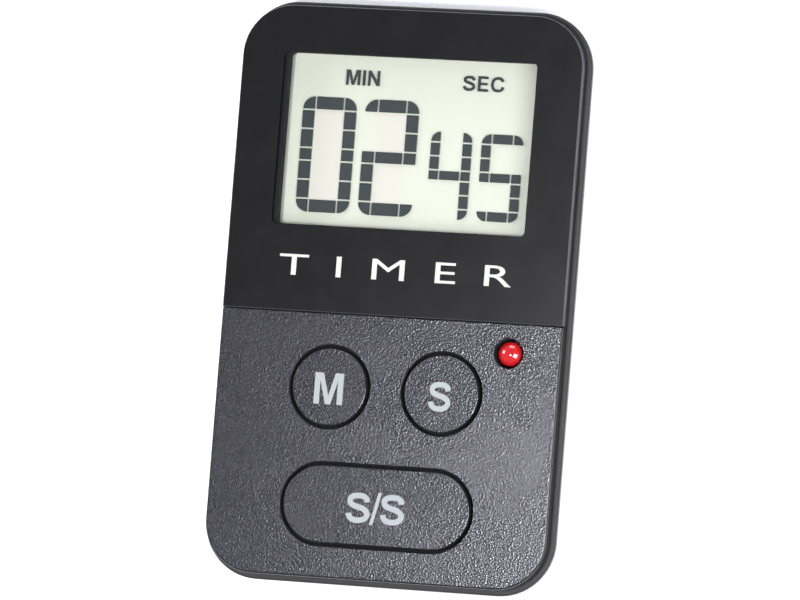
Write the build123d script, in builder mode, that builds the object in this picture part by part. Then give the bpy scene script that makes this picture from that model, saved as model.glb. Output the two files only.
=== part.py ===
from build123d import *
import os

os.makedirs("parts", exist_ok=True)

# A pocket countdown timer lying on its back. X runs to the right, Y to the top of the timer
# and Z out of its face. The origin is under the middle of the case, on the resting plane.

# Driving dimensions, in millimetres
face_width = 60.0
face_height = 96.4
face_radius = 8.7
face_z = 13.0  # front surface above the resting plane
shell_overhang = 0.9  # the back shell stands this far proud of the face all round
panel_thickness = 2.0  # moulded front plate around the keys
window_thickness = 1.5
split_y = -3.8  # line between the window panel and the moulded panel
split_gap = 0.26
window_size = (44.2, 29.4)
window_y = 25.67
key_spread = 9.86  # half the distance between the two round keys
round_key_y = -16.07
wide_key_y = -35.77
key_radius = 6.52
key_gap = 0.6  # ring between a cap and its hole
key_travel = 0.8
key_proud = 0.2
led_x, led_y = 21.0, -8.65
led_radius = 2.0
led_hole_radius = 2.5

# Case walls and joints between the halves
wall = 1.6
rim_z = 10.3  # top of the back shell's rim
band_z = 9.4  # the shell is upright above this and tapers below it
taper = 22.0  # degrees
cover_low = face_z - panel_thickness
window_low = face_z - window_thickness
tape_thickness = 0.12
print_gap = 0.02  # ink layer on the back of the window panel
seat_z = window_low - print_gap - tape_thickness  # shelf that the window tape lies on
upper_low = 9.9  # underside of the plate behind the window
skirt_inset = 0.9
skirt_low = 9.45
skirt_thickness = 1.2
shell_width = face_width + 2 * shell_overhang
shell_height = face_height + 2 * shell_overhang
shell_radius = face_radius + shell_overhang
well_top = 3.8  # inside height of the walls that back a pocket in the shell

# Circuit board
board_low = 5.6
board_top = 6.6
board_size = (53.0, 88.4)
board_y = 0.6
case_posts = [(-22.6, -39.5), (22.6, -39.5), (-22.6, 2.6), (22.6, 2.6)]
boss_top = 5.5
board_posts = [(-23.8, -28.0), (23.8, -28.0)]
holder_posts = [(-12.0, 43.6), (12.0, 43.6)]

# Display
glass_width = 47.0
glass_top = 9.4
glass_thickness = 0.7
glass_high_y = 41.8
glass_low_y = 7.9
ledge = 2.8  # strip of the front glass that carries the contacts
film_size = (45.4, 30.6)
film_thickness = 0.2

# Back
door_y = -21.0
door_radius = 11.5
lug_radius = 12.6
lug_angle = 24.0
lug_count = 3
cell_radius = 10.0
cell_low = 1.75
cell_thickness = 3.2
stand_half = 18.6
stand_leg = 4.0
stand_thickness = 1.9
stand_low = 0.3
stand_gap = 0.3
stand_bottom_y = -42.5
pivot_y = 30.0
pivot_z = stand_low + stand_thickness / 2
pip_radius = 0.75
pip_length = 0.9
magnet_y = 23.0
magnet_radius = 7.0
magnet_thickness = 1.6
buzzer_y = 4.0
buzzer_radius = 10.0
buzzer_low = 2.4


def plate(width, height, radius, low, high, centre=(0, 0), mode=Mode.ADD):
    """Adds or cuts an upright plate with rounded corners in the part being built."""
    with BuildSketch(Plane.XY.offset(low)) as outline:
        with Locations(centre):
            RectangleRounded(width, height, radius)
    extrude(outline.sketch, amount=high - low, mode=mode)


def block(x_span, y_span, z_span, mode=Mode.ADD):
    """Adds or cuts a square-cornered block between two corners."""
    middle = [(a + b) / 2 for a, b in (x_span, y_span, z_span)]
    size = [b - a for a, b in (x_span, y_span, z_span)]
    with Locations(tuple(middle)):
        Box(*size, mode=mode)


def disc(radius, low, high, centre=(0, 0), mode=Mode.ADD):
    """Adds or cuts an upright cylinder between two heights."""
    with Locations((centre[0], centre[1], low)):
        Cylinder(radius, high - low, align=(Align.CENTER, Align.CENTER, Align.MIN), mode=mode)


def pill(radius, low, high, centre, straight=0.0, mode=Mode.ADD):
    """Adds or cuts an upright slot; with no straight part it is a cylinder."""
    if straight == 0:
        disc(radius, low, high, centre, mode)
    else:
        with BuildSketch(Plane.XY.offset(low)) as outline:
            with Locations(centre):
                SlotOverall(2 * (straight + radius), 2 * radius)
        extrude(outline.sketch, amount=high - low, mode=mode)


def sector(inner, outer, low, high, centre, middle_angle, width_angle, mode=Mode.ADD):
    """Adds or cuts a piece of a ring."""
    start = middle_angle - width_angle / 2
    with BuildSketch(Plane.XY.offset(low)) as outline:
        with BuildLine():
            far = CenterArc(centre, outer, start, width_angle)
            near = CenterArc(centre, inner, start, width_angle)
            Line(near @ 0, far @ 0)
            Line(near @ 1, far @ 1)
        make_face()
    extrude(outline.sketch, amount=high - low, mode=mode)


def finish(builder, name):
    """Names a finished piece and writes its file."""
    builder.part.label = name
    export_step(builder.part, f"parts/{name}.step")


keys = {
    "minute_button": ((-key_spread, round_key_y), 0.0),
    "second_button": ((key_spread, round_key_y), 0.0),
    "start_stop_button": ((0.0, wide_key_y), key_spread),
}
wide_dome = 6.5  # the wide key rests on two domes
domes = [
    (-key_spread, round_key_y),
    (key_spread, round_key_y),
    (-wide_dome, wide_key_y),
    (wide_dome, wide_key_y),
]

# Front cover: the grained panel, the plate behind the window, and a skirt that locates it
hook_width = 12.0
hook_reach = 0.6
post_radius = 2.2
pilot_radius = 1.0
edge_round = 0.35
hole_round = 0.1
with BuildPart() as front_cover:
    plate(face_width, face_height, face_radius, cover_low, face_z)
    block((-face_width, face_width), (split_y, face_height), (seat_z, face_z + 1), Mode.SUBTRACT)
    skirt_cut = 2 * skirt_inset
    skirt_radius = face_radius - skirt_inset
    plate(face_width - skirt_cut, face_height - skirt_cut, skirt_radius, skirt_low, cover_low)
    hollow_cut = 2 * (skirt_inset + skirt_thickness)
    hollow_radius = face_radius - hollow_cut / 2
    low_edge = -face_height / 2 + hollow_cut / 2
    lower_height = split_y - low_edge
    plate(
        face_width - hollow_cut,
        lower_height,
        hollow_radius,
        skirt_low - 1,
        cover_low,
        (0, low_edge + lower_height / 2),
        Mode.SUBTRACT,
    )
    plate(
        face_width - hollow_cut,
        face_height - hollow_cut,
        hollow_radius,
        skirt_low - 1,
        upper_low,
        mode=Mode.SUBTRACT,
    )
    plate(*window_size, 1.0, upper_low - 1, face_z, (0, window_y), Mode.SUBTRACT)
    for centre, straight in keys.values():
        pill(key_radius + key_gap, cover_low - 1, face_z + 1, centre, straight, Mode.SUBTRACT)
    disc(led_hole_radius, cover_low - 1, face_z + 1, (led_x, led_y), Mode.SUBTRACT)
    for x, y in case_posts:
        disc(post_radius, boss_top, cover_low, (x, y))
        disc(pilot_radius, boss_top - 1, cover_low - 0.8, (x, y), Mode.SUBTRACT)
    for x, y in board_posts:
        disc(1.8, board_top, cover_low, (x, y))
        disc(0.85, board_top - 1, cover_low - 0.8, (x, y), Mode.SUBTRACT)
    block(
        (-hook_width / 2, hook_width / 2),
        (face_height / 2 - skirt_inset - 0.5, face_height / 2 - skirt_inset + hook_reach),
        (skirt_low, skirt_low + 0.5),
    )
    top_face = front_cover.faces().filter_by(Axis.Z).sort_by(Axis.Z)[-1]
    rim = top_face.outer_wire().edges()
    chamfer(top_face.inner_wires().edges(), length=hole_round)
    straight_split = rim.filter_by(Axis.X).sort_by(Axis.Y)[-1]
    fillet([e for e in rim if e != straight_split], radius=edge_round)
finish(front_cover, "front_cover")

# Window panel: clear acrylic that carries black ink on its back
with BuildPart() as window_panel:
    plate(face_width, face_height, face_radius, window_low, face_z)
    below_panel = (-face_height, split_y + split_gap)
    block((-face_width, face_width), below_panel, (window_low - 1, face_z + 1), Mode.SUBTRACT)
    chamfer(window_panel.faces().sort_by(Axis.Z)[-1].edges(), length=0.1)
finish(window_panel, "window_panel")

# Double-sided tape behind the window panel
tape_inset = 1.0
with BuildPart() as window_adhesive:
    plate(
        face_width - 2 * tape_inset,
        face_height - 2 * tape_inset,
        face_radius - tape_inset,
        seat_z,
        seat_z + tape_thickness,
    )
    below_tape = (-face_height, split_y + split_gap + tape_inset)
    block((-face_width, face_width), below_tape, (seat_z - 1, face_z), Mode.SUBTRACT)
    tape_window = (window_size[0] + 2.0, window_size[1] + 2.0)
    plate(*tape_window, 1.0, seat_z - 1, face_z, (0, window_y), Mode.SUBTRACT)
finish(window_adhesive, "window_adhesive")


def shell_form(inset, low, mode=Mode.ADD):
    """Adds or cuts the case form: upright at the rim, tapering below the band."""
    width = shell_width - 2 * inset
    height = shell_height - 2 * inset
    radius = shell_radius - inset
    with BuildSketch(Plane.XY.offset(band_z)) as outline:
        RectangleRounded(width, height, radius)
    extrude(outline.sketch, amount=rim_z - band_z, mode=mode)
    extrude(outline.sketch, amount=low - band_z, taper=taper, mode=mode)


def stand_outline(grow, low, high, mode=Mode.ADD):
    """Adds or cuts the U of the stand, wider by grow on every side."""
    half = stand_half + grow
    bottom = stand_bottom_y - grow
    top = pivot_y + stand_thickness / 2 + grow
    inner_half = stand_half - stand_leg - grow
    inner_bottom = stand_bottom_y + stand_leg + grow
    with BuildSketch(Plane.XY.offset(low)) as outline:
        with BuildLine():
            Polyline(
                (-half, top),
                (-half, bottom),
                (half, bottom),
                (half, top),
                (inner_half, top),
                (inner_half, inner_bottom),
                (-inner_half, inner_bottom),
                (-inner_half, top),
                close=True,
            )
        make_face()
        fillet(outline.vertices().group_by(Axis.Y)[0], radius=3.0 + grow)
    extrude(outline.sketch, amount=high - low, mode=mode)


# Back shell: tapered tray with pockets for the stand, the magnet and the battery door
boss_radius = 3.0
counterbore_radius = 2.1
counterbore_depth = 1.7
sound_hole_radius = 0.75
cell_wall_radius = 13.9
notch_half = 5.0
with BuildPart() as back_shell:
    shell_form(0, 0)
    fillet(back_shell.faces().sort_by(Axis.Z)[0].edges(), radius=3.0)
    fillet(back_shell.faces().sort_by(Axis.Z)[-1].edges(), radius=0.45)
    shell_form(wall, wall, Mode.SUBTRACT)
    stand_outline(stand_gap + 1.2, wall - 0.6, well_top)
    disc(magnet_radius + 1.4, wall - 0.6, magnet_thickness + 1.6, (0, magnet_y))
    disc(cell_wall_radius, wall - 0.6, board_low - 0.3, (0, door_y))
    disc(cell_wall_radius - 1.0, wall, face_z, (0, door_y), Mode.SUBTRACT)
    disc(buzzer_radius + 1.2, wall - 0.6, buzzer_low + 0.6, (0, buzzer_y))
    disc(buzzer_radius + 0.2, buzzer_low, face_z, (0, buzzer_y), Mode.SUBTRACT)
    disc(buzzer_radius - 1.2, wall, face_z, (0, buzzer_y), Mode.SUBTRACT)
    for x, y in case_posts:
        disc(boss_radius, wall - 0.6, boss_top, (x, y))
    stand_outline(stand_gap, -1, stand_low + stand_thickness + 0.25, Mode.SUBTRACT)
    notch_y = stand_bottom_y + stand_leg
    pad_half = notch_half + 1.2
    block((-pad_half, pad_half), (notch_y, notch_y + 3.6), (wall - 0.6, wall + 0.9))
    block((-notch_half, notch_half), (notch_y, notch_y + 2.4), (-1, wall - 0.1), Mode.SUBTRACT)
    disc(magnet_radius + 0.1, -1, magnet_thickness + 0.15, (0, magnet_y), Mode.SUBTRACT)
    disc(door_radius + 0.15, -1, wall + 1, (0, door_y), Mode.SUBTRACT)
    for n in range(lug_count):
        angle = 90 + 45 - 360 / lug_count * n
        sector(
            door_radius - 1,
            lug_radius + 0.2,
            -1,
            wall + 1,
            (0, door_y),
            angle - 90,
            lug_angle + 4,
            Mode.SUBTRACT,
        )
    for x, y in case_posts:
        disc(1.15, -1, boss_top + 1, (x, y), Mode.SUBTRACT)
        disc(counterbore_radius, -1, counterbore_depth, (x, y), Mode.SUBTRACT)
    with Locations((0, buzzer_y, 0)):
        Cylinder(sound_hole_radius, 4 * wall, mode=Mode.SUBTRACT)
        with PolarLocations(4.5, 6):
            Cylinder(sound_hole_radius, 4 * wall, mode=Mode.SUBTRACT)
    socket_depth = pip_length + 0.2
    for side in (-1, 1):
        socket_x = side * (stand_half + socket_depth / 2)
        with Locations(Location((socket_x, pivot_y, pivot_z), (0, 90, 0))):
            Cylinder(pip_radius + 0.06, socket_depth, mode=Mode.SUBTRACT)
    hook_y = face_height / 2 - skirt_inset + hook_reach + 0.1
    block(
        (-hook_width / 2 - 0.3, hook_width / 2 + 0.3),
        (hook_y - 1.5, hook_y),
        (band_z - 0.05, skirt_low + 0.6),
        Mode.SUBTRACT,
    )
finish(back_shell, "back_shell")

# Key caps: a domed silicone pad lifts each one until its flange meets the cover
flange_reach = 1.4
flange_low = 9.9
flange_high = cover_low - 0.1
cap_top = face_z + key_proud
dome_top = 9.0
cap_round = 0.15
for name, (centre, straight) in keys.items():
    with BuildPart() as cap:
        pill(key_radius, flange_low, cap_top, centre, straight)
        fillet(cap.faces().sort_by(Axis.Z)[-1].edges(), radius=cap_round)
        pill(key_radius + flange_reach, flange_low, flange_high, centre, straight)
        pill(key_radius - 1.2, flange_low - 1, cap_top - 1.4, centre, straight, Mode.SUBTRACT)
        for x, y in domes:
            if abs(y - centre[1]) < 1 and abs(x - centre[0]) < key_spread:
                disc(3.6, dome_top + 0.02, cap_top - 1.0, (x, y))
    finish(cap, name)

# Silicone keypad mat with a hollow dome for each contact, and the carbon pills in them
mat_thickness = 0.7
pill_radius = 2.4
pill_low = board_top + key_travel
pill_high = pill_low + 0.5
dome_height = dome_top - board_top - mat_thickness
standing = (Align.CENTER, Align.CENTER, Align.MIN)
with BuildPart() as keypad_mat:
    mat_high_y = -8.0
    mat_low_y = -43.4
    plate(
        36.8,
        mat_high_y - mat_low_y,
        2.0,
        board_top,
        board_top + mat_thickness,
        (0, (mat_high_y + mat_low_y) / 2),
    )
    for x, y in domes:
        with Locations((x, y, board_top + mat_thickness)):
            Cone(5.4, 3.9, dome_height, align=standing)
    for x, y in domes:
        with Locations((x, y, board_top)):
            Cone(4.7, 3.2, pill_high - board_top, align=standing, mode=Mode.SUBTRACT)
finish(keypad_mat, "keypad_mat")

with BuildPart() as contact_pills:
    for x, y in domes:
        disc(pill_radius, pill_low, pill_high, (x, y))
finish(contact_pills, "contact_pills")

# Display, from the front: foam gasket, polariser, two glasses and the reflector film
glass_mid_y = (glass_high_y + glass_low_y) / 2
rear_low_y = glass_low_y + ledge
rear_mid_y = (glass_high_y + rear_low_y) / 2
with BuildPart() as display_gasket:
    outer = (glass_width - 0.4, glass_high_y - glass_low_y - 0.4)
    plate(*outer, 0.5, glass_top, upper_low, (0, glass_mid_y))
    film_clear = (film_size[0] + 0.4, film_size[1] + 0.4)
    plate(*film_clear, 0.5, glass_top - 1, face_z, (0, window_y), Mode.SUBTRACT)
finish(display_gasket, "display_gasket")

with BuildPart() as lcd_polariser:
    plate(*film_size, 0.4, glass_top, glass_top + film_thickness, (0, window_y))
finish(lcd_polariser, "lcd_polariser")

glass_middle = glass_top - glass_thickness
glass_bottom = glass_middle - glass_thickness
with BuildPart() as lcd_front_glass:
    front_glass_size = (glass_width, glass_high_y - glass_low_y)
    plate(*front_glass_size, 0.3, glass_middle, glass_top, (0, glass_mid_y))
finish(lcd_front_glass, "lcd_front_glass")

with BuildPart() as lcd_rear_glass:
    rear_glass_size = (glass_width, glass_high_y - rear_low_y)
    plate(*rear_glass_size, 0.3, glass_bottom, glass_middle, (0, rear_mid_y))
finish(lcd_rear_glass, "lcd_rear_glass")

with BuildPart() as lcd_reflector:
    reflector_size = (film_size[0], film_size[1] - 1.0)
    plate(*reflector_size, 0.4, glass_bottom - film_thickness, glass_bottom, (0, rear_mid_y))
finish(lcd_reflector, "lcd_reflector")

# Frame that locates the glass over the board, with a bar above it for two board screws
holder_half = 25.2
holder_low_y = 6.5
holder_high_y = 43.0
with BuildPart() as lcd_holder:
    holder_size = (2 * holder_half, holder_high_y - holder_low_y)
    holder_mid_y = (holder_high_y + holder_low_y) / 2
    plate(*holder_size, 1.0, board_top, upper_low, (0, holder_mid_y))
    for x, y in holder_posts:
        disc(2.0, board_top, upper_low, (x, y - 0.4))
    glass_room = (glass_width + 0.3, glass_high_y - glass_low_y + 0.3)
    plate(*glass_room, 0.3, glass_middle, face_z, (0, glass_mid_y), Mode.SUBTRACT)
    rear_room = (glass_width + 0.3, glass_high_y - rear_low_y + 0.3)
    plate(*rear_room, 0.3, glass_bottom, face_z, (0, rear_mid_y), Mode.SUBTRACT)
    shelf_room = (glass_width - 1.4, glass_high_y - rear_low_y - 1.2)
    plate(*shelf_room, 0.3, board_top - 1, face_z, (0, rear_mid_y), Mode.SUBTRACT)
    zebra_room = ((-22.2, 22.2), (8.2, 10.2), (board_top - 1, face_z))
    block(*zebra_room, Mode.SUBTRACT)
    for x, y in holder_posts:
        disc(0.85, board_top - 1, board_top + 2.6, (x, y), Mode.SUBTRACT)
finish(lcd_holder, "lcd_holder")

with BuildPart() as zebra_strip:
    block((-22.0, 22.0), (8.4, 10.0), (board_top, glass_middle))
finish(zebra_strip, "zebra_strip")

# Circuit board, open round the case pillars and under the lamp
with BuildPart() as circuit_board:
    plate(*board_size, 3.0, board_low, board_top, (0, board_y))
    for x, y in case_posts:
        disc(2.7, 0, face_z, (x, y), Mode.SUBTRACT)
        edge = board_size[0] / 2 + 1
        x_span = (x, edge) if x > 0 else (-edge, x)
        block(x_span, (y - 2.7, y + 2.7), (0, face_z), Mode.SUBTRACT)
    disc(3.1, 0, face_z, (led_x, led_y), Mode.SUBTRACT)
    for x, y in board_posts + holder_posts:
        disc(0.95, 0, face_z, (x, y), Mode.SUBTRACT)
finish(circuit_board, "circuit_board")

# Timer chip under a drop of epoxy, on the board behind the display
blob_radius = 4.0
blob_height = 0.9
with BuildPart() as timer_chip:
    disc(blob_radius, board_top, board_top + blob_height, (-8.0, 25.0))
    fillet(timer_chip.faces().sort_by(Axis.Z)[-1].edges(), radius=0.8 * blob_height)
finish(timer_chip, "timer_chip")

with BuildPart() as crystal:
    with Locations(Location((-6.0, 37.0, board_low - 1.0), (0, 90, 0))):
        Cylinder(1.0, 6.0)
    fillet(crystal.edges().sort_by(Axis.X)[0], radius=0.3)
finish(crystal, "crystal")

with BuildPart() as chip_capacitors:
    for x in (4.0, 8.0):
        block((x, x + 2.0), (36.4, 37.6), (board_low - 1.0, board_low))
finish(chip_capacitors, "chip_capacitors")

with BuildPart() as chip_resistors:
    for x in (12.0, 15.0, 18.0):
        block((x, x + 1.6), (36.6, 37.4), (board_low - 0.5, board_low))
finish(chip_resistors, "chip_resistors")

# Signal lamp, let down through the board, and its two bent leads
led_shoulder = face_z - 0.9  # where the lens starts to curve in
lens_curve = 2.6
lens_middle = led_shoulder - (lens_curve**2 - led_radius**2) ** 0.5
led_flange_radius = 2.4
led_low = 4.5
with BuildPart() as led:
    disc(led_radius, led_low, lens_middle, (led_x, led_y))
    with Locations((led_x, led_y, lens_middle)):
        Sphere(lens_curve)
    disc(led_radius, led_low, face_z + 1, (led_x, led_y), Mode.INTERSECT)
    disc(led_flange_radius, led_low, led_low + 1.0, (led_x, led_y))
finish(led, "led")

lead_pitch = 2.54
lead_half = 0.25
with BuildPart() as led_leads:
    for side in (-1, 1):
        near = led_y + side * lead_pitch / 2
        far = near + side * 4.0
        with BuildLine() as lead_route:
            FilletPolyline(
                (led_x, near, led_low),
                (led_x, near, led_low - 1.0),
                (led_x, far, led_low - 1.0),
                (led_x, far, board_low),
                radius=0.6,
            )
        with BuildSketch(Plane(lead_route.line @ 0, z_dir=lead_route.line % 0)) as lead_section:
            Rectangle(2 * lead_half, 2 * lead_half)
        sweep(lead_section.sketch, path=lead_route.line)
finish(led_leads, "led_leads")

# Piezo sounder on a ring of the shell, and its wires up to the board
with BuildPart() as buzzer_plate:
    disc(buzzer_radius, buzzer_low, buzzer_low + 0.2, (0, buzzer_y))
finish(buzzer_plate, "buzzer_plate")

ceramic_high = buzzer_low + 0.45
with BuildPart() as buzzer_ceramic:
    disc(7.0, buzzer_low + 0.2, ceramic_high, (0, buzzer_y))
finish(buzzer_ceramic, "buzzer_ceramic")

wire_radius = 0.3
with BuildPart() as buzzer_wires:
    for x, low in ((-2.0, ceramic_high), (8.4, buzzer_low + 0.2)):
        with BuildLine() as wire_route:
            FilletPolyline(
                (x, buzzer_y, low),
                (x, buzzer_y, low + 0.9),
                (x + 2.6, buzzer_y, low + 1.3),
                (x + 2.6, buzzer_y, board_low),
                radius=0.35,
            )
        with BuildSketch(Plane(wire_route.line @ 0, z_dir=wire_route.line % 0)) as wire_section:
            Circle(wire_radius)
        sweep(wire_section.sketch, path=wire_route.line)
finish(buzzer_wires, "buzzer_wires")

# Lithium coin cell and the two contacts that touch it
cell_high = cell_low + cell_thickness
with BuildPart() as coin_cell:
    disc(cell_radius, cell_low, cell_high - 0.5, (0, door_y))
    disc(cell_radius - 1.3, cell_high - 0.5, cell_high, (0, door_y))
    fillet(coin_cell.edges().filter_by(GeomType.CIRCLE).sort_by(Axis.Z)[0], radius=0.4)
finish(coin_cell, "coin_cell")

with BuildPart() as positive_contact:
    side_y = door_y + cell_radius + 0.02
    block((-3.0, 3.0), (side_y, side_y + 0.2), (3.0, board_low))
    block((-3.0, 3.0), (side_y, side_y + 1.6), (board_low - 0.2, board_low))
finish(positive_contact, "positive_contact")

with BuildPart() as negative_contact:
    leaf = 0.2
    with BuildSketch(Plane.XZ.offset(-door_y)) as profile:
        with BuildLine():
            Polyline(
                (-9.0, board_low),
                (-9.0, board_low - leaf),
                (-5.0, board_low - leaf),
                (0.0, cell_high + 0.02),
                (1.6, cell_high + 0.02),
                (3.0, cell_high + 0.3),
                (3.0, cell_high + 0.3 + leaf),
                (1.6, cell_high + 0.02 + leaf),
                (0.0, cell_high + 0.02 + leaf),
                (-4.9, board_low),
                close=True,
            )
        make_face()
    extrude(profile.sketch, amount=2.0, both=True)
finish(negative_contact, "negative_contact")

# Battery door: a round plate with a coin slot, and a ring that carries the bayonet lugs
with BuildPart() as battery_door:
    disc(door_radius, 0.15, wall, (0, door_y))
    disc(door_radius - 0.1, wall, wall + 1.0, (0, door_y))
    for n in range(lug_count):
        angle = -360 / lug_count * n
        sector(
            door_radius - 1.0,
            lug_radius,
            wall + 0.15,
            wall + 1.0,
            (0, door_y),
            angle,
            lug_angle,
        )
    disc(cell_radius + 0.3, wall, face_z, (0, door_y), Mode.SUBTRACT)
    chamfer(battery_door.edges().filter_by(GeomType.CIRCLE).sort_by(Axis.Z)[0], length=0.25)
    with Locations((0, door_y, 0.15)):
        Box(14.0, 1.8, 1.6, mode=Mode.SUBTRACT)
finish(battery_door, "battery_door")

# Stand: a U that lies in the back and swings out about two moulded pips
with BuildPart() as stand:
    stand_outline(0, stand_low, stand_low + stand_thickness)
    top_y = pivot_y + stand_thickness / 2
    for side in (-1, 1):
        outer_x = side * stand_half
        inner_x = side * (stand_half - stand_leg)
        x_span = (min(outer_x, inner_x), max(outer_x, inner_x))
        block(
            x_span,
            (pivot_y, top_y + 0.1),
            (stand_low - 0.1, stand_low + stand_thickness + 0.1),
            Mode.SUBTRACT,
        )
        mid_x = side * (stand_half - stand_leg / 2)
        with Locations(Location((mid_x, pivot_y, pivot_z), (0, 90, 0))):
            Cylinder(stand_thickness / 2, stand_leg)
        pip_x = side * (stand_half + pip_length / 2 - 0.2)
        with Locations(Location((pip_x, pivot_y, pivot_z), (0, 90, 0))):
            Cylinder(pip_radius, pip_length)
finish(stand, "stand")

# Magnet glued into the back
with BuildPart() as magnet:
    disc(magnet_radius, 0.15, 0.15 + magnet_thickness, (0, magnet_y))
    chamfer(magnet.edges().sort_by(Axis.Z)[0], length=0.25)
finish(magnet, "magnet")

# Self-tapping screws
with BuildPart() as case_screws:
    for x, y in case_posts:
        head_low = counterbore_depth - 1.3
        disc(1.9, head_low, counterbore_depth, (x, y))
        disc(pilot_radius - 0.02, counterbore_depth, 9.6, (x, y))
        with Locations((x, y, head_low)):
            Box(2.2, 0.5, 1.0, mode=Mode.SUBTRACT)
            Box(0.5, 2.2, 1.0, mode=Mode.SUBTRACT)
finish(case_screws, "case_screws")

with BuildPart() as board_screws:
    for x, y in board_posts + holder_posts:
        head_low = board_low - 1.0
        disc(1.6, head_low, board_low, (x, y))
        disc(0.83, board_low, board_top + 2.2, (x, y))
        with Locations((x, y, head_low)):
            Box(1.8, 0.4, 0.8, mode=Mode.SUBTRACT)
            Box(0.4, 1.8, 0.8, mode=Mode.SUBTRACT)
finish(board_screws, "board_screws")
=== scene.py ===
import math
import bmesh
import bpy
from mathutils import Matrix, Vector


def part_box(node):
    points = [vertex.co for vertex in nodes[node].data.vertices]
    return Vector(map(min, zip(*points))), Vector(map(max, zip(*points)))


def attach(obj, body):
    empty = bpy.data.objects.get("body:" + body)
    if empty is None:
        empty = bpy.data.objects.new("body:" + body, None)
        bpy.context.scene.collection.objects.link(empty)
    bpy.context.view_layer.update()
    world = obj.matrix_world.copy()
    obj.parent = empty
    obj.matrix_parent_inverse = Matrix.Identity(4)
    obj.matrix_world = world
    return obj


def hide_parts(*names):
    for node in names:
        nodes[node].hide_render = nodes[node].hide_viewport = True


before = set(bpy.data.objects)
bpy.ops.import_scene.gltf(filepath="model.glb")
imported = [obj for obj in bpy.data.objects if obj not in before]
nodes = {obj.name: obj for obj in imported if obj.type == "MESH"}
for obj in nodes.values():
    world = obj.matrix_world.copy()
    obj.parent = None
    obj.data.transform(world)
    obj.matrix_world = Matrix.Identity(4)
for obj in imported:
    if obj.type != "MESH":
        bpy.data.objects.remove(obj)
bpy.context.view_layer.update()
mm = 0.001

panelLow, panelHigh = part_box("window_panel")
shellLow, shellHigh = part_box("back_shell")
filmLow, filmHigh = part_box("lcd_polariser")
rearLow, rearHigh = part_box("lcd_rear_glass")
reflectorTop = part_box("lcd_reflector")[1].z
faceZ = panelHigh.z
print("frame loaded, face at", round(faceZ * 1000, 2), "mm")


def newObject(name, mesh):
    obj = bpy.data.objects.new(name, mesh)
    bpy.context.scene.collection.objects.link(obj)
    return obj


def bakedMesh(obj, name):
    # the evaluated mesh as a plain one, with the modifiers left behind
    depsgraph = bpy.context.evaluated_depsgraph_get()
    mesh = bpy.data.meshes.new_from_object(obj.evaluated_get(depsgraph))
    mesh.name = name
    return mesh


def roundedLoop(low, high, radii, steps):
    # corner points of a rectangle with rounded corners, anticlockwise from the lower left one
    corners = [
        (low[0], low[1], 180, radii[0]),
        (high[0], low[1], 270, radii[1]),
        (high[0], high[1], 0, radii[2]),
        (low[0], high[1], 90, radii[3]),
    ]
    points = []
    for x, y, start, radius in corners:
        if radius <= 0:
            points.append((x, y))
            continue
        cx = x + radius * (1 if start in (180, 90) else -1)
        cy = y + radius * (1 if start in (180, 270) else -1)
        for k in range(steps + 1):
            angle = math.radians(start + 90 * k / steps)
            points.append((cx + radius * math.cos(angle), cy + radius * math.sin(angle)))
    return points


def ringOfVerts(bm, points, z):
    return [bm.verts.new((x, y, z)) for x, y in points]


def bridge(bm, lower, upper, material):
    count = len(lower)
    for k in range(count):
        face = bm.faces.new((lower[k], lower[(k + 1) % count], upper[(k + 1) % count], upper[k]))
        face.material_index = material


def flatRing(bm, outer, inner, pairs, material, up):
    # a flat ring in two faces, parted where each pair joins the outer loop to the inner one
    (outerA, innerA), (outerB, innerB) = pairs

    def stretch(loop, start, end):
        count = len(loop)
        return [loop[(start + k) % count] for k in range((end - start) % count + 1)]

    for verts in (
        stretch(outer, outerA, outerB) + list(reversed(stretch(inner, innerA, innerB))),
        stretch(outer, outerB, outerA) + list(reversed(stretch(inner, innerB, innerA))),
    ):
        face = bm.faces.new(verts if up else list(reversed(verts)))
        face.material_index = material


def pieceFrom(bm, name):
    mesh = bpy.data.meshes.new(name)
    bm.to_mesh(mesh)
    bm.free()
    return newObject(name, mesh)


def flatSolid(bm, outline, bottom, top):
    # a closed plate with upright sides
    lower = ringOfVerts(bm, outline, bottom)
    upper = ringOfVerts(bm, outline, top)
    bridge(bm, lower, upper, 0)
    bm.faces.new(upper)
    bm.faces.new(list(reversed(lower)))


def setMaterial(obj, material):
    obj.data.materials.clear()
    obj.data.materials.append(material)


def addNode(tree, kind, **values):
    node = tree.nodes.new(kind)
    for key, value in values.items():
        setattr(node, key, value)
    return node


def surface(name, colour, roughness, **sockets):
    # an empty principled material; sockets holds what is constant over the surface
    material = bpy.data.materials.new(name)
    material.use_nodes = True
    shader = material.node_tree.nodes["Principled BSDF"]
    shader.inputs["Base Color"].default_value = (*colour, 1.0)
    shader.inputs["Roughness"].default_value = roughness
    for key, value in sockets.items():
        shader.inputs[key.replace("_", " ")].default_value = value
    return material, material.node_tree, shader


def objectCoords(tree, stretch=(1, 1, 1), turn=(0, 0, 0)):
    coords = addNode(tree, "ShaderNodeTexCoord")
    mapping = addNode(tree, "ShaderNodeMapping")
    mapping.inputs["Scale"].default_value = stretch
    mapping.inputs["Rotation"].default_value = turn
    tree.links.new(coords.outputs["Object"], mapping.inputs["Vector"])
    return mapping.outputs["Vector"]


def noise(tree, vector, scale, detail=2.0, rough=0.5):
    node = addNode(tree, "ShaderNodeTexNoise")
    node.inputs["Scale"].default_value = scale
    node.inputs["Detail"].default_value = detail
    node.inputs["Roughness"].default_value = rough
    tree.links.new(vector, node.inputs["Vector"])
    return node.outputs["Fac"]


def pebbles(tree, vector, scale):
    # the distance to the nearest of many scattered points
    node = addNode(tree, "ShaderNodeTexVoronoi", feature="F1")
    node.inputs["Scale"].default_value = scale
    node.inputs["Randomness"].default_value = 1.0
    tree.links.new(vector, node.inputs["Vector"])
    return node.outputs["Distance"]


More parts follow.
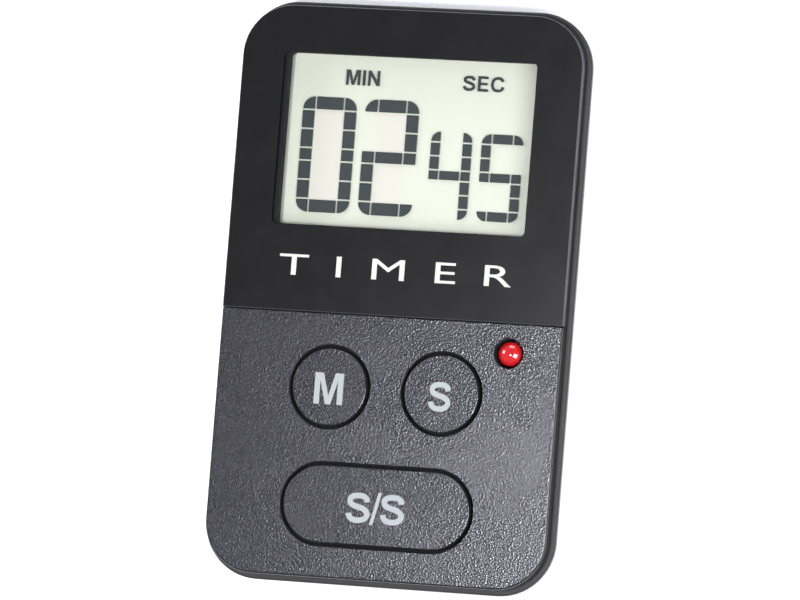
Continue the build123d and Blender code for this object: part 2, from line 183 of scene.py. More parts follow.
def ramp(tree, factor, stops):
    node = addNode(tree, "ShaderNodeValToRGB")
    bar = node.color_ramp
    while len(bar.elements) < len(stops):
        bar.elements.new(0.5)
    for element, (place, colour) in zip(bar.elements, stops):
        element.position = place
        element.color = (*colour, 1.0)
    tree.links.new(factor, node.inputs["Fac"])
    return node.outputs["Color"]


def spread(tree, factor, low, high):
    # a value between low and high that follows the factor
    node = addNode(tree, "ShaderNodeMapRange")
    node.inputs["From Min"].default_value = 0.3
    node.inputs["From Max"].default_value = 0.7
    node.inputs["To Min"].default_value = low
    node.inputs["To Max"].default_value = high
    tree.links.new(factor, node.inputs["Value"])
    return node.outputs["Result"]


def bump(tree, height, shader, strength, distance):
    node = addNode(tree, "ShaderNodeBump")
    node.inputs["Strength"].default_value = strength
    node.inputs["Distance"].default_value = distance
    tree.links.new(height, node.inputs["Height"])
    tree.links.new(node.outputs["Normal"], shader.inputs["Normal"])
    return node


def tones(colour, swing):
    return [tuple(channel * factor for channel in colour) for factor in (1 - swing, 1 + swing)]


grainLook = {
    "colour": (0.0110, 0.0110, 0.0135),
    "roughness": (0.20, 0.34),
    "grainScale": 3300.0,  # pebbles of about a third of a millimetre
    "grainDepth": 0.000042,
    "grainStrength": 1.0,
    "coarseShare": 0.3,  # how much of a coarser ripple goes under the pebbles
    "edgeRoughness": 0.12,
    "edgeGrain": 0.0,  # how much of the grain stays on rounded and upright edges
    "flatFrom": (0.985, 0.999),
    "paintedShadeBelow": faceZ - 0.45 * mm,  # painted shade: down in the gaps the colour is painted near black, and the finish is dull
    "gloss": 0.41,
    "swing": 0.12,
}


def flatness(tree, low, high):
    # one where the surface lies flat, nought on rounded and upright edges
    coords = addNode(tree, "ShaderNodeTexCoord")
    parts = addNode(tree, "ShaderNodeSeparateXYZ")
    tree.links.new(coords.outputs["Normal"], parts.inputs["Vector"])
    upright = addNode(tree, "ShaderNodeMath", operation="ABSOLUTE")
    tree.links.new(parts.outputs["Z"], upright.inputs[0])
    level = addNode(tree, "ShaderNodeMapRange")
    level.inputs["From Min"].default_value = low
    level.inputs["From Max"].default_value = high
    tree.links.new(upright.outputs[0], level.inputs["Value"])
    return level.outputs["Result"]


def grainPlastic(name, look):
    material, tree, shader = surface(name, look["colour"], 0.5, Specular_IOR_Level=look["gloss"])
    place = objectCoords(tree, turn=(0.61, 0.93, 0.37))  # slanted, so that no rows show on a flat face
    fine = pebbles(tree, place, look["grainScale"])
    broad = noise(tree, place, look["grainScale"] / 40, 2.0)
    mix = addNode(tree, "ShaderNodeMath", operation="ADD")
    tree.links.new(fine, mix.inputs[0])
    coarse = addNode(tree, "ShaderNodeMath", operation="MULTIPLY")
    coarse.inputs[1].default_value = look["coarseShare"]
    tree.links.new(noise(tree, place, look["grainScale"] / 1.8, 1.0, 0.5), coarse.inputs[0])
    tree.links.new(coarse.outputs[0], mix.inputs[1])
    dark, light = tones(look["colour"], look["swing"])
    parts = addNode(tree, "ShaderNodeSeparateXYZ")
    tree.links.new(objectCoords(tree), parts.inputs["Vector"])
    # painted shade: below the given height the base colour goes to near black, darkening the gaps, and the
    # roughness goes to one
    clearOfShade = addNode(tree, "ShaderNodeMapRange")
    clearOfShade.inputs["From Min"].default_value = look["paintedShadeBelow"] - 0.05 * mm
    clearOfShade.inputs["From Max"].default_value = look["paintedShadeBelow"] + 0.05 * mm
    tree.links.new(parts.outputs["Z"], clearOfShade.inputs["Value"])
    shade = addNode(tree, "ShaderNodeMix", data_type="RGBA")
    shade.inputs["A"].default_value = (0.001, 0.001, 0.001, 1.0)
    tree.links.new(clearOfShade.outputs["Result"], shade.inputs["Factor"])
    tree.links.new(ramp(tree, broad, [(0.35, dark), (0.65, light)]), shade.inputs["B"])
    tree.links.new(shade.outputs["Result"], shader.inputs["Base Color"])
    flat = flatness(tree, *look["flatFrom"])
    sheen = addNode(tree, "ShaderNodeMix", data_type="FLOAT")
    sheen.inputs["A"].default_value = look["edgeRoughness"]
    tree.links.new(flat, sheen.inputs["Factor"])
    glints = noise(tree, place, look["grainScale"], 2.0, 0.6)
    tree.links.new(spread(tree, glints, *look["roughness"]), sheen.inputs["B"])
    dull = addNode(tree, "ShaderNodeMix", data_type="FLOAT")
    dull.inputs["A"].default_value = 1.0
    tree.links.new(clearOfShade.outputs["Result"], dull.inputs["Factor"])
    tree.links.new(sheen.outputs["Result"], dull.inputs["B"])
    tree.links.new(dull.outputs["Result"], shader.inputs["Roughness"])
    relief = bump(tree, mix.outputs[0], shader, look["grainStrength"], look["grainDepth"])
    depth = addNode(tree, "ShaderNodeMapRange")
    depth.inputs["To Min"].default_value = look["grainStrength"] * look["edgeGrain"]
    depth.inputs["To Max"].default_value = look["grainStrength"]
    tree.links.new(flat, depth.inputs["Value"])
    tree.links.new(depth.outputs["Result"], relief.inputs["Strength"])
    return material


satinLook = {
    "colour": (0.012, 0.012, 0.0135),
    "roughness": (0.42, 0.52),
    "scale": 900.0,
    "depth": 0.00001,
}


def satinPlastic(name, look):
    material, tree, shader = surface(name, look["colour"], 0.35)
    place = objectCoords(tree)
    flow = noise(tree, place, look["scale"], 3.0, 0.55)
    scuffs = noise(tree, objectCoords(tree, (0.12, 1.0, 1.0)), look["scale"] * 2.2, 2.0, 0.7)
    dark, light = tones(look["colour"], 0.12)
    tree.links.new(ramp(tree, flow, [(0.3, dark), (0.7, light)]), shader.inputs["Base Color"])
    tree.links.new(spread(tree, scuffs, *look["roughness"]), shader.inputs["Roughness"])
    bump(tree, flow, shader, 0.35, look["depth"])
    return material


inkLook = {
    "colour": (0.002, 0.002, 0.0026),
    "roughness": (0.21, 0.235),
    "coat": 0.35,  # the polished skin over the softer sheen of the ink
    "scale": 160.0,
}


def glossInk(name, look):
    # polished acrylic with black ink behind it
    material, tree, shader = surface(
        name, look["colour"], 0.25, IOR=1.45, Coat_Weight=look["coat"], Coat_Roughness=0.04, Coat_IOR=1.3
    )
    smudge = noise(tree, objectCoords(tree), look["scale"], 3.0, 0.6)
    dark, light = tones(look["colour"], 0.15)
    tree.links.new(ramp(tree, smudge, [(0.3, dark), (0.7, light)]), shader.inputs["Base Color"])
    tree.links.new(spread(tree, smudge, *look["roughness"]), shader.inputs["Roughness"])
    return material


def clearSheet(name, colour, alpha, roughness, scale=300.0):
    material, tree, shader = surface(name, colour, roughness, Alpha=alpha, IOR=1.49)
    haze = noise(tree, objectCoords(tree), scale, 2.0)
    dark, light = tones(colour, 0.04)
    tree.links.new(ramp(tree, haze, [(0.3, dark), (0.7, light)]), shader.inputs["Base Color"])
    tree.links.new(spread(tree, haze, roughness * 0.8, roughness * 1.2), shader.inputs["Roughness"])
    return material


def toned(
    name, colour, roughness, metallic=0.0, scale=1500.0, swing=0.08, depth=0.000008,
    stretch=(1, 1, 1), gloss=0.5,
):
    # a plain finish with a little colour and sheen variation and a fine surface
    material, tree, shader = surface(name, colour, roughness, Metallic=metallic, Specular_IOR_Level=gloss)
    grain = noise(tree, objectCoords(tree, stretch), scale, 3.0, 0.6)
    dark, light = tones(colour, swing)
    tree.links.new(ramp(tree, grain, [(0.3, dark), (0.7, light)]), shader.inputs["Base Color"])
    sheen = spread(tree, grain, roughness * 0.85, min(1.0, roughness * 1.2))
    tree.links.new(sheen, shader.inputs["Roughness"])
    bump(tree, grain, shader, 0.4, depth)
    return material


def lampPlastic(name):
    material, tree, shader = surface(
        name, (0.35, 0.006, 0.008), 0.09, IOR=1.5, Coat_Weight=1.0, Coat_Roughness=0.03
    )
    swirl = noise(tree, objectCoords(tree), 900.0, 2.0)
    tree.links.new(
        ramp(tree, swirl, [(0.3, (0.30, 0.004, 0.006)), (0.7, (0.40, 0.008, 0.010))]),
        shader.inputs["Base Color"],
    )
    return material


coverGrain = grainPlastic("cover_grain", grainLook)
keyGrain = grainPlastic("key_grain", dict(grainLook, colour=(0.0102, 0.0102, 0.0126), grainDepth=0.000037))
shellGrain = grainPlastic("shell_grain", dict(
    grainLook, colour=(0.0085, 0.008, 0.0078), roughness=(0.60, 0.70), edgeRoughness=0.30, edgeGrain=0.5,
    grainDepth=0.00002, gloss=0.5, paintedShadeBelow=-1.0,
    flatFrom=(0.25, 0.6),
))
blackInk = glossInk("window_ink", inkLook)
clearWindow = clearSheet("window_clear", (0.06, 0.07, 0.07), 0.03, 0.05)
sheetEdge = toned("window_edge", (0.045, 0.046, 0.05), 0.22, scale=600.0)
glassClear = clearSheet("glass_clear", (0.06, 0.07, 0.06), 0.015, 0.08)
filmClear = clearSheet("film_clear", (0.10, 0.11, 0.10), 0.015, 0.25)
pearl = toned("reflector_pearl", (0.430, 0.450, 0.362), 0.6, scale=3600.0, swing=0.045, depth=0.000004)
digitTint = toned("digit_field", (0.433, 0.428, 0.362), 0.6, scale=3600.0, swing=0.045, depth=0.000004)
segmentInk = toned("segment_ink", (0.026, 0.031, 0.031), 0.6, scale=2000.0, swing=0.04, gloss=0.1)
legendInk = toned("legend_ink", (0.215, 0.235, 0.235), 0.55, scale=2500.0, swing=0.05)
whiteInk = toned("white_ink", (0.37, 0.37, 0.33), 0.5, scale=2500.0, swing=0.03)

# one black for the real window tape and for the painted shade strip in the split gap
tapeAndShadeBlack = toned("tape_and_shade_black", (0.004, 0.004, 0.004), 0.8, gloss=0.1)

cadFinishes = {
    "front_cover": coverGrain,
    "minute_button": keyGrain,
    "second_button": keyGrain,
    "start_stop_button": keyGrain,
    "back_shell": shellGrain,
    "battery_door": satinPlastic("door_satin", dict(satinLook, colour=(0.017, 0.017, 0.019))),
    "stand": satinPlastic("stand_satin", dict(satinLook, colour=(0.018, 0.018, 0.020))),
    "window_adhesive": tapeAndShadeBlack,
    "display_gasket": toned("foam_black", (0.012, 0.011, 0.010), 0.9, depth=0.00004),
    "lcd_polariser": filmClear,
    "lcd_front_glass": glassClear,
    "lcd_rear_glass": glassClear,
    "lcd_reflector": pearl,
    "lcd_holder": toned("holder_ivory", (0.55, 0.54, 0.5), 0.45),
    "zebra_strip": toned(
        "zebra_rubber", (0.25, 0.2, 0.22), 0.7, scale=4000.0, swing=0.5, stretch=(1, 0.02, 0.02)
    ),
    "keypad_mat": toned("silicone_black", (0.006, 0.006, 0.006), 0.8, gloss=0.1),
    "contact_pills": toned("carbon", (0.01, 0.01, 0.01), 0.7),
    "circuit_board": toned("board_green", (0.012, 0.09, 0.035), 0.3, scale=700.0, swing=0.25),
    "timer_chip": toned("epoxy_black", (0.012, 0.012, 0.012), 0.15),
    "crystal": toned("can_steel", (0.6, 0.6, 0.61), 0.25, 1.0),
    "chip_capacitors": toned("chip_tan", (0.35, 0.22, 0.12), 0.4),
    "chip_resistors": toned("chip_black", (0.02, 0.02, 0.025), 0.35),
    "led": lampPlastic("lamp_red"),
    "led_leads": toned("lead_tin", (0.6, 0.6, 0.6), 0.3, 1.0),
    "buzzer_plate": toned("buzzer_brass", (0.7, 0.48, 0.2), 0.3, 1.0),
    "buzzer_ceramic": toned("buzzer_silver", (0.7, 0.69, 0.66), 0.5),
    "buzzer_wires": toned("wire_red", (0.45, 0.02, 0.02), 0.5),
    "coin_cell": toned("cell_steel", (0.62, 0.62, 0.63), 0.22, 1.0, scale=3000.0, stretch=(1, 0.1, 1)),
    "positive_contact": toned("contact_nickel", (0.66, 0.63, 0.58), 0.3, 1.0),
    "negative_contact": toned("leaf_nickel", (0.66, 0.63, 0.58), 0.3, 1.0),
    "magnet": toned("magnet_nickel", (0.30, 0.295, 0.285), 0.36, 1.0, scale=3000.0, swing=0.05),
    "case_screws": toned("screw_zinc", (0.5, 0.5, 0.52), 0.32, 1.0, scale=4000.0),
    "board_screws": toned("screw_steel", (0.5, 0.5, 0.52), 0.32, 1.0, scale=4000.0),
}
for nodeName, material in cadFinishes.items():
    setMaterial(nodes[nodeName], material)
print("materials set on", len(cadFinishes), "CAD pieces")


windowLook = {
    "clear": (44.2 * mm, 29.4 * mm),
    "clearY": 25.67 * mm,
    "clearLeft": 0.45 * mm,  # the clear part runs a little further to the left
    "clearRadius": 1.0 * mm,
    "backMargin": 0.7 * mm,  # the back stays clear a little further out
    "cornerRadius": 8.7 * mm,
    "edgeChamfer": 0.12 * mm,
    "arcSteps": 20,
}


splitLook = {
    "halfWidth": 29.6 * mm,
    "cornerRadius": 0.02 * mm,
    "y": (panelLow.y - 0.25 * mm, panelLow.y - 0.01 * mm),
    "z": (panelLow.z + 0.02 * mm, panelLow.z + 0.3 * mm),
}


def makeWindow(look):
    bm = bmesh.new()
    steps = look["arcSteps"]
    low, high = (panelLow.x, panelLow.y), (panelHigh.x, panelHigh.y)
    bottom, top = panelLow.z, panelHigh.z
    cut = look["edgeChamfer"]
    corner = look["cornerRadius"]
    outline = roundedLoop(low, high, (0, 0, corner, corner), steps)
    inset = roundedLoop(
        (low[0] + cut, low[1] + cut),
        (high[0] - cut, high[1] - cut),
        (0, 0, corner - cut, corner - cut),
        steps,
    )
    halfX, halfY = look["clear"][0] / 2, look["clear"][1] / 2
    centreY = look["clearY"]
    margin = look["backMargin"]
    cornerSteps = 6
    front = roundedLoop(
        (-halfX - look["clearLeft"], centreY - halfY),
        (halfX, centreY + halfY),
        [look["clearRadius"]] * 4,
        cornerSteps,
    )
    back = roundedLoop(
        (-halfX - margin, centreY - halfY - margin),
        (halfX + margin, centreY + halfY + margin),
        [look["clearRadius"]] * 4,
        cornerSteps,
    )
    lowRing = ringOfVerts(bm, outline, bottom)
    sideRing = ringOfVerts(bm, outline, top - cut)
    topRing = ringOfVerts(bm, inset, top)
    frontRing = ringOfVerts(bm, front, top)
    backRing = ringOfVerts(bm, back, bottom)
    bridge(bm, lowRing, sideRing, 2)
    bridge(bm, sideRing, topRing, 2)
    # from the lower left corner, and from the middle of the upper right one
    pairs = ((0, cornerSteps // 2), (2 + steps // 2, 2 * (cornerSteps + 1) + cornerSteps // 2))
    flatRing(bm, topRing, frontRing, pairs, 0, True)
    flatRing(bm, lowRing, backRing, pairs, 0, False)
    bm.faces.new(frontRing).material_index = 1
    bm.faces.new(list(reversed(backRing))).material_index = 1
    sheet = pieceFrom(bm, "window_sheet")
    for material in (blackInk, clearWindow, sheetEdge):
        sheet.data.materials.append(material)
    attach(sheet, "case")
    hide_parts("window_panel")
    return sheet


def makeSplitStrip(look):
    # a black strip at the bottom of the gap between the window and the keys' plate, painted shade that keeps
    # the gap dark
    low, high = look["y"]
    bottom, top = look["z"]
    outline = roundedLoop((-look["halfWidth"], low), (look["halfWidth"], high), [look["cornerRadius"]] * 4, 3)
    bm = bmesh.new()
    flatSolid(bm, outline, bottom, top)
    strip = pieceFrom(bm, "split_shade_strip")
    setMaterial(strip, tapeAndShadeBlack)
    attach(strip, "case")


makeWindow(windowLook)
makeSplitStrip(splitLook)
print("window sheet made")


# outlines of the letters, one high; a curved letter is a line with a width instead
glyphs = {
    "M": {"edge": [
        (0, 0), (0.19, 0), (0.19, 0.76), (0.40, 0), (0.58, 0), (0.79, 0.76), (0.79, 0),
        (0.98, 0), (0.98, 1), (0.69, 1), (0.49, 0.27), (0.29, 1), (0, 1),
    ]},
    "I": {"edge": [(0, 0), (0.2, 0), (0.2, 1), (0, 1)]},
    "N": {"edge": [
        (0, 0), (0.18, 0), (0.18, 0.68), (0.59, 0), (0.78, 0),
        (0.78, 1), (0.60, 1), (0.60, 0.32), (0.19, 1), (0, 1),
    ]},
    "E": {"edge": [
        (0, 0), (0.68, 0), (0.68, 0.17), (0.19, 0.17), (0.19, 0.42), (0.62, 0.42),
        (0.62, 0.58), (0.19, 0.58), (0.19, 0.83), (0.66, 0.83), (0.66, 1), (0, 1),
    ]},
    "/": {"edge": [(0, 0), (0.11, 0), (0.34, 1), (0.23, 1)]},
    "S": {"line": [
        (0.69, 0.70), (0.66, 0.81), (0.55, 0.89), (0.39, 0.907), (0.22, 0.88), (0.122, 0.79), (0.128, 0.665),
        (0.23, 0.585), (0.40, 0.53), (0.57, 0.475), (0.685, 0.375), (0.70, 0.25), (0.60, 0.135),
        (0.41, 0.092),
        (0.22, 0.12), (0.12, 0.21), (0.092, 0.32),
    ], "width": 0.185},
    "C": {"line": [
        (0.79, 0.68), (0.74, 0.80), (0.61, 0.89), (0.45, 0.907), (0.27, 0.86), (0.14, 0.71), (0.10, 0.5),
        (0.14, 0.29), (0.27, 0.14), (0.45, 0.093), (0.61, 0.11), (0.75, 0.20), (0.81, 0.35),
    ], "width": 0.18},
}


def smoothLine(points, steps=5):
    # a Catmull-Rom line through the points
    padded = [points[0]] + points + [points[-1]]
    line = []
    for k in range(1, len(padded) - 2):
        p0, p1, p2, p3 = (Vector(p) for p in padded[k - 1 : k + 3])
        for n in range(steps):
            t = n / steps
            line.append(
                0.5 * (2 * p1 + (p2 - p0) * t + (2 * p0 - 5 * p1 + 4 * p2 - p3) * t**2
                       + (3 * p1 - p0 - 3 * p2 + p3) * t**3)
            )
    line.append(Vector(points[-1]))
    return line


def glyphOutline(letter):
    glyph = glyphs[letter]
    if "edge" in glyph:
        return [Vector(p) for p in glyph["edge"]]
    line = smoothLine(glyph["line"])
    half = glyph["width"] / 2
    left, right = [], []
    for k, point in enumerate(line):
        along = (line[min(k + 1, len(line) - 1)] - line[max(k - 1, 0)]).normalized()
        across = Vector((-along.y, along.x))
        left.append(point + across * half)
        right.append(point - across * half)
    return right + list(reversed(left))


def letterPiece(name, marks, z, thick, material, body):
    # marks: letter, left, low, width and height in metres; every letter is a closed flat solid
    bm = bmesh.new()
    for letter, left, low, width, height in marks:
        outline = glyphOutline(letter)
        xs, ys = [p.x for p in outline], [p.y for p in outline]
        wide, tall = max(xs) - min(xs), max(ys) - min(ys)
        spots = [
            (left + (p.x - min(xs)) / wide * width, low + (p.y - min(ys)) / tall * height) for p in outline
        ]
        upper = ringOfVerts(bm, spots, z + thick)
        lower = ringOfVerts(bm, spots, z)
        bridge(bm, lower, upper, 0)
        bm.faces.new(upper)
        bm.faces.new(list(reversed(lower)))
    bmesh.ops.recalc_face_normals(bm, faces=bm.faces)
    piece = pieceFrom(bm, name)
    setMaterial(piece, material)
    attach(piece, body)
    return piece


legendLook = {
    "thick": 0.02 * mm,
    "minute": [("M", -12.47, -19.03, 5.08, 5.3)],  # letter, left, low, width, height in mm
    "second": [("S", 7.72, -19.08, 3.88, 5.0)],
    "startStop": [
        ("S", -5.18, -38.6, 4.2, 5.1),
        ("/", -0.95, -38.8, 1.85, 5.5),
        ("S", 0.85, -38.6, 4.2, 5.1),
    ],
}


def inMetres(marks):
    return [(letter, *(value * mm for value in values)) for letter, *values in marks]


for name, marks, node, body in (
    ("minute_legend", "minute", "minute_button", "minute_key"),
    ("second_legend", "second", "second_button", "second_key"),
    ("start_stop_legend", "startStop", "start_stop_button", "start_stop_key"),
):
    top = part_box(node)[1].z
    letterPiece(name, inMetres(legendLook[marks]), top, legendLook["thick"], legendInk, body)


nameLook = {
    "words": "TIMER",
    "width": 41.0 * mm,
    "height": 3.5 * mm,
    "centre": (0, 4.2 * mm),
    "thick": 0.015 * mm,
    "spacing": 1.9,
}


def makeName(look):
    curve = bpy.data.curves.new("panel_word", "FONT")
    curve.body = look["words"]
    curve.space_character = look["spacing"]
    curve.resolution_u = 6
    curve.extrude = 0.5
    maker = bpy.data.objects.new("panel_word_maker", curve)
    bpy.context.scene.collection.objects.link(maker)
    mesh = bakedMesh(maker, "panel_word")
    bpy.data.objects.remove(maker)
    xs = [v.co.x for v in mesh.vertices]
    ys = [v.co.y for v in mesh.vertices]
    toMiddle = Matrix.Translation((-(min(xs) + max(xs)) / 2, -(min(ys) + max(ys)) / 2, 0.5))
    size = Matrix.Diagonal(
        (look["width"] / (max(xs) - min(xs)), look["height"] / (max(ys) - min(ys)), look["thick"], 1)
    )
    mesh.transform(Matrix.Translation((*look["centre"], faceZ)) @ size @ toMiddle)
    word = newObject("panel_word", mesh)
    setMaterial(word, whiteInk)
    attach(word, "case")


makeName(nameLook)
print("lettering made")


displayLook = {
    "segmentZ": reflectorTop + 0.4 * mm,  # the liquid crystal, inside the glass
    "segmentThick": 0.01 * mm,
    "segmentShift": -0.09 * mm,  # the figures sit a little left of their cells' places
    "gap": 0.28 * mm,
    "big": {"width": 9.55 * mm, "height": 19.65 * mm, "stroke": 2.12 * mm, "waist": 1.9 * mm},
    "small": {"width": 7.25 * mm, "height": 14.75 * mm, "stroke": 1.62 * mm, "waist": 1.5 * mm},
    "digits": [
        ("0", "big", -19.95 * mm),
        ("2", "big", -8.85 * mm),
        ("4", "small", 3.2 * mm),
        ("5", "small", 12.15 * mm),
    ],
    "baseline": 13.6 * mm,
    "minutesLabel": [
        ("M", -12.8, 35.5, 2.55, 2.6),
        ("I", -9.85, 35.5, 0.52, 2.6),
        ("N", -8.9, 35.5, 2.1, 2.6),
    ],
    "secondsLabel": [
        ("S", 7.95, 35.45, 2.15, 2.6),
        ("E", 10.55, 35.45, 1.85, 2.6),
        ("C", 12.85, 35.45, 2.35, 2.6),
    ],
    "fields": [(-17.6 * mm, -12.7 * mm), (-6.5 * mm, -1.6 * mm)],  # the open middles of the big figures
    "fieldLevels": (2.2 * mm, 17.4 * mm),  # above the baseline
    "fieldThick": 0.004 * mm,
}

# cells of each figure by row, from the top: left, middle, right
# rows are: cap, two uprights, waist, two uprights, foot
figures = {
    "0": ["111", "101", "101", "101", "101", "101", "111"],
    "2": ["111", "001", "001", "111", "100", "100", "111"],
    "4": ["101", "101", "101", "111", "001", "001", "001"],
    "5": ["111", "100", "100", "111", "001", "001", "111"],
}


def figureCells(figure, size, left, base, gap):
    # (centre x, centre y, width, height, quarter turns or None) for every lit cell
    width, height = size["width"], size["height"]
    stroke, waist = size["stroke"], size["waist"]
    upright = (height - 2 * stroke - waist - 6 * gap) / 4
    rowHeights = [stroke, upright, upright, waist, upright, upright, stroke]
    columnWidths = [stroke, width - 2 * stroke - 2 * gap, stroke]
    cells = []
    y = base + height
    for row, rowHeight in enumerate(rowHeights):
        x = left
        for column, columnWidth in enumerate(columnWidths):
            if figures[figure][row][column] == "1":
                turns = None
                if row == 0 and column != 1:
                    turns = 1 if column == 0 else 0
                if row == 6 and column != 1:
                    turns = 2 if column == 0 else 3
                cells.append((x + columnWidth / 2, y - rowHeight / 2, columnWidth, rowHeight, turns))
            x += columnWidth + gap
        y -= rowHeight + gap
    return cells


def cellTree(name):
    # lays a cell on every point: square ones, or quarter rounds turned to their corner
    tree = bpy.data.node_groups.new(name, "GeometryNodeTree")
    face = tree.interface
    face.new_socket("Geometry", in_out="INPUT", socket_type="NodeSocketGeometry")
    thick = face.new_socket("Thickness", in_out="INPUT", socket_type="NodeSocketFloat")
    ink = face.new_socket("Ink", in_out="INPUT", socket_type="NodeSocketMaterial")
    face.new_socket("Geometry", in_out="OUTPUT", socket_type="NodeSocketGeometry")
    entry = addNode(tree, "NodeGroupInput")
    leave = addNode(tree, "NodeGroupOutput")

    def stored(attribute, kind):
        node = addNode(tree, "GeometryNodeInputNamedAttribute", data_type=kind)
        node.inputs["Name"].default_value = attribute
        return node.outputs["Attribute"]

    square = addNode(tree, "GeometryNodeMeshCube")
    # quarter round: an arc closed through its centre, one unit across, moved about its own middle
    arc = addNode(tree, "GeometryNodeCurveArc", mode="RADIUS")
    arc.inputs["Resolution"].default_value = 14
    arc.inputs["Radius"].default_value = 1.0
    arc.inputs["Start Angle"].default_value = 0.0
    arc.inputs["Sweep Angle"].default_value = math.radians(90)
    arc.inputs["Connect Center"].default_value = True
    fill = addNode(tree, "GeometryNodeFillCurve")
    tree.links.new(arc.outputs["Curve"], fill.inputs["Curve"])
    pull = addNode(tree, "GeometryNodeExtrudeMesh")
    pull.inputs["Offset Scale"].default_value = 1.0
    pull.inputs["Individual"].default_value = False
    tree.links.new(fill.outputs["Mesh"], pull.inputs["Mesh"])
    centreRound = addNode(tree, "GeometryNodeTransform")
    centreRound.inputs["Translation"].default_value = (-0.5, -0.5, -0.5)
    tree.links.new(pull.outputs["Mesh"], centreRound.inputs["Geometry"])

    size = stored("cellSize", "FLOAT_VECTOR")
    turn = stored("cellTurn", "FLOAT_VECTOR")
    isRound = stored("cellRound", "BOOLEAN")
    notRound = addNode(tree, "FunctionNodeBooleanMath", operation="NOT")
    tree.links.new(isRound, notRound.inputs[0])
    join = addNode(tree, "GeometryNodeJoinGeometry")
    shapes = ((square.outputs["Mesh"], notRound.outputs[0]), (centreRound.outputs["Geometry"], isRound))
    for shape, chosen in shapes:
        place = addNode(tree, "GeometryNodeInstanceOnPoints")
        tree.links.new(entry.outputs["Geometry"], place.inputs["Points"])
        tree.links.new(shape, place.inputs["Instance"])
        tree.links.new(chosen, place.inputs["Selection"])
        tree.links.new(turn, place.inputs["Rotation"])
        tree.links.new(size, place.inputs["Scale"])
        tree.links.new(place.outputs["Instances"], join.inputs["Geometry"])
    realize = addNode(tree, "GeometryNodeRealizeInstances")
    tree.links.new(join.outputs["Geometry"], realize.inputs["Geometry"])
    flatten = addNode(tree, "GeometryNodeTransform")
    stack = addNode(tree, "ShaderNodeCombineXYZ")
    stack.inputs["X"].default_value = 1.0
    stack.inputs["Y"].default_value = 1.0
    tree.links.new(entry.outputs["Thickness"], stack.inputs["Z"])
    tree.links.new(stack.outputs["Vector"], flatten.inputs["Scale"])
    tree.links.new(realize.outputs["Geometry"], flatten.inputs["Geometry"])
    paint = addNode(tree, "GeometryNodeSetMaterial")
    tree.links.new(flatten.outputs["Geometry"], paint.inputs["Geometry"])
    tree.links.new(entry.outputs["Ink"], paint.inputs["Material"])
    tree.links.new(paint.outputs["Geometry"], leave.inputs["Geometry"])
    return tree, {"Thickness": thick.identifier, "Ink": ink.identifier}


def makeSegments(look):
    cells = []
    for figure, sizeName, left in look["digits"]:
        cells += figureCells(figure, look[sizeName], left, look["baseline"], look["gap"])
    seeds = bpy.data.meshes.new("segment_seeds")
    seeds.from_pydata([(x, y, 0) for x, y, *rest in cells], [], [])
    sizes = seeds.attributes.new("cellSize", "FLOAT_VECTOR", "POINT")
    turns = seeds.attributes.new("cellTurn", "FLOAT_VECTOR", "POINT")
    rounds = seeds.attributes.new("cellRound", "BOOLEAN", "POINT")
    for k, (x, y, width, height, quarter) in enumerate(cells):
        swap = quarter in (1, 3)
        sizes.data[k].vector = (height, width, 1) if swap else (width, height, 1)
        turns.data[k].vector = (0, 0, math.radians(90 * (quarter or 0)))
        rounds.data[k].value = quarter is not None
    maker = newObject("segment_maker", seeds)
    tree, sockets = cellTree("segment_cells")
    modifier = maker.modifiers.new("cells", "NODES")
    modifier.node_group = tree
    modifier[sockets["Thickness"]] = look["segmentThick"]
    modifier[sockets["Ink"]] = segmentInk
    mesh = bakedMesh(maker, "display_segments")
    bpy.data.objects.remove(maker)
    middle = look["segmentZ"] + look["segmentThick"] / 2
    mesh.transform(Matrix.Translation((look["segmentShift"], 0, middle)))
    segments = newObject("display_segments", mesh)
    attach(segments, "case")
    return segments


def makeGlass():
    # both glasses and the film in one stepped solid, so that light crosses only two faces of it
    frontLow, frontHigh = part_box("lcd_front_glass")
    skin = 0.02 * mm  # clear of the reflector below
    step = 0.05 * mm
    levels = [
        # lowest x and y, highest x and y, height
        (rearLow.x + step, rearLow.y, rearHigh.x - step, rearHigh.y - step, rearLow.z + skin),
        (rearLow.x + step, rearLow.y, rearHigh.x - step, rearHigh.y - step, frontLow.z),
        (frontLow.x, frontLow.y, frontHigh.x, frontHigh.y, frontLow.z),
        (frontLow.x, frontLow.y, frontHigh.x, frontHigh.y, frontHigh.z),
        (filmLow.x, filmLow.y, filmHigh.x, filmHigh.y, filmLow.z),
        (filmLow.x, filmLow.y, filmHigh.x, filmHigh.y, filmHigh.z),
    ]
    bm = bmesh.new()
    rings = [ringOfVerts(bm, [(x0, y0), (x1, y0), (x1, y1), (x0, y1)], z) for x0, y0, x1, y1, z in levels]
    for lower, upper in zip(rings, rings[1:]):
        bridge(bm, lower, upper, 0)
    bm.faces.new(rings[-1])
    bm.faces.new(list(reversed(rings[0])))
    glass = pieceFrom(bm, "display_glass")
    setMaterial(glass, glassClear)
    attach(glass, "case")
    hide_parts("lcd_polariser", "lcd_front_glass", "lcd_rear_glass")


def makeFields(look):
    # the film looks a little warmer inside the big figures
    bm = bmesh.new()
    low, high = (look["baseline"] + level for level in look["fieldLevels"])
    for left, right in look["fields"]:
        outline = [(left, low), (right, low), (right, high), (left, high)]
        flatSolid(bm, outline, reflectorTop, reflectorTop + look["fieldThick"])
    fields = pieceFrom(bm, "figure_fields")
    setMaterial(fields, digitTint)
    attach(fields, "case")


makeGlass()
makeSegments(displayLook)
for name, marks in (("minutes_label", "minutesLabel"), ("seconds_label", "secondsLabel")):
    letterPiece(
        name, inMetres(displayLook[marks]), displayLook["segmentZ"], displayLook["segmentThick"], segmentInk,
        "case",
    )
makeFields(displayLook)
print("display made")


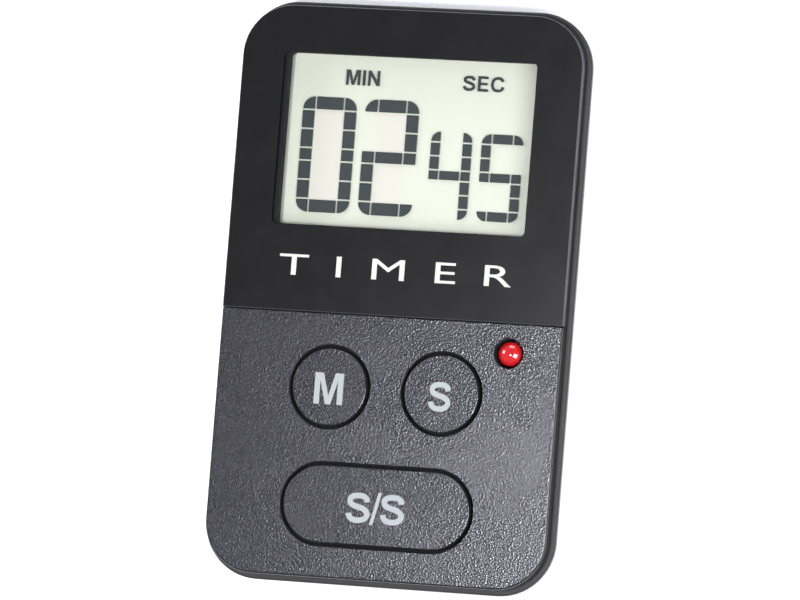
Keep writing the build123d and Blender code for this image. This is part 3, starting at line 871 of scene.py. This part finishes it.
studioLook = {
    "floorColour": (0.93, 0.93, 0.93),
    "floorHalf": 2.0,
    "floorZ": -0.02 * mm,
    "openingInset": 6.9 * mm,  # just inside the flat of the back
    "openingRadius": 3.0 * mm,
    "skyColour": (0.98, 0.98, 1.05),
    "skyStrength": 0.30,
    "lightColour": (0.98, 0.98, 1.05),
    "lights": [
        # name, place in metres, size in metres, watts
        ("left_box", (-0.62, 0.16, 0.40), 0.22, 2.0),
        ("right_box", (0.36, -0.12, 0.50), 0.30, 4.5),
        ("near_box", (0.008, -0.049, 0.43), 0.05, 1.9),
        ("under_box", (0.16, -0.20, -0.50), 0.40, 2.5),
        ("top_box", (0.02, 0.62, 0.30), 0.40, 2.2),
    ],
    "aim": (1.30 * mm, -0.75 * mm),
    "yaw": 17.6,  # degrees to the right of the face
    "rise": -3.65,  # degrees above the face's own level
    "roll": 4.54,
    "distance": 1.198,
    "lens": 321.2,
}


def makeStudio(look):
    bpy.context.scene.view_settings.view_transform = "Standard"
    world = bpy.data.worlds.new("studio")
    bpy.context.scene.world = world
    world.use_nodes = True
    sky = world.node_tree.nodes["Background"]
    sky.inputs["Color"].default_value = (*look["skyColour"], 1.0)
    sky.inputs["Strength"].default_value = look["skyStrength"]
    # a plain floor, open under the case so that its back can be seen from below
    half = look["floorHalf"]
    inset = look["openingInset"]
    bm = bmesh.new()
    outer = ringOfVerts(bm, [(-half, -half), (half, -half), (half, half), (-half, half)], look["floorZ"])
    cornerSteps = 12
    spots = roundedLoop(
        (shellLow.x + inset, shellLow.y + inset),
        (shellHigh.x - inset, shellHigh.y - inset),
        [look["openingRadius"]] * 4,
        cornerSteps,
    )
    inner = ringOfVerts(bm, spots, look["floorZ"])
    # parted from the lower left corner and from the upper right one, at the middle of each rounding
    pairs = ((0, cornerSteps // 2), (2, 2 * (cornerSteps + 1) + cornerSteps // 2))
    flatRing(bm, outer, inner, pairs, 0, True)
    floor = pieceFrom(bm, "floor")
    setMaterial(floor, toned("floor_white", look["floorColour"], 0.7, scale=12.0, swing=0.01, depth=0.0001))
    target = Vector((*look["aim"], faceZ))
    for name, place, size, watts in look["lights"]:
        light = bpy.data.lights.new(name, "AREA")
        light.shape = "SQUARE"
        light.size = size
        light.energy = watts
        light.color = look["lightColour"]
        lamp = bpy.data.objects.new(name, light)
        lamp.visible_camera = False
        bpy.context.scene.collection.objects.link(lamp)
        lamp.location = place
        lamp.rotation_euler = (target - Vector(place)).to_track_quat("-Z", "Y").to_euler()
    yaw, rise = math.radians(look["yaw"]), math.radians(look["rise"])
    outward = Vector((math.sin(yaw) * math.cos(rise), math.sin(rise), math.cos(yaw) * math.cos(rise)))
    side = Vector((0, 1, 0)).cross(outward).normalized()
    upward = outward.cross(side)
    turn = Matrix.Rotation(math.radians(look["roll"]), 3, outward)
    side, upward = turn @ side, turn @ upward
    camera = bpy.data.objects.new("camera", bpy.data.cameras.new("camera"))
    bpy.context.scene.collection.objects.link(camera)
    camera.data.lens = look["lens"]
    camera.data.sensor_width = 36.0
    basis = Matrix((side, upward, outward)).transposed().to_4x4()
    camera.matrix_world = Matrix.Translation(target + outward * look["distance"]) @ basis
    bpy.context.scene.camera = camera


makeStudio(studioLook)
print("studio made")
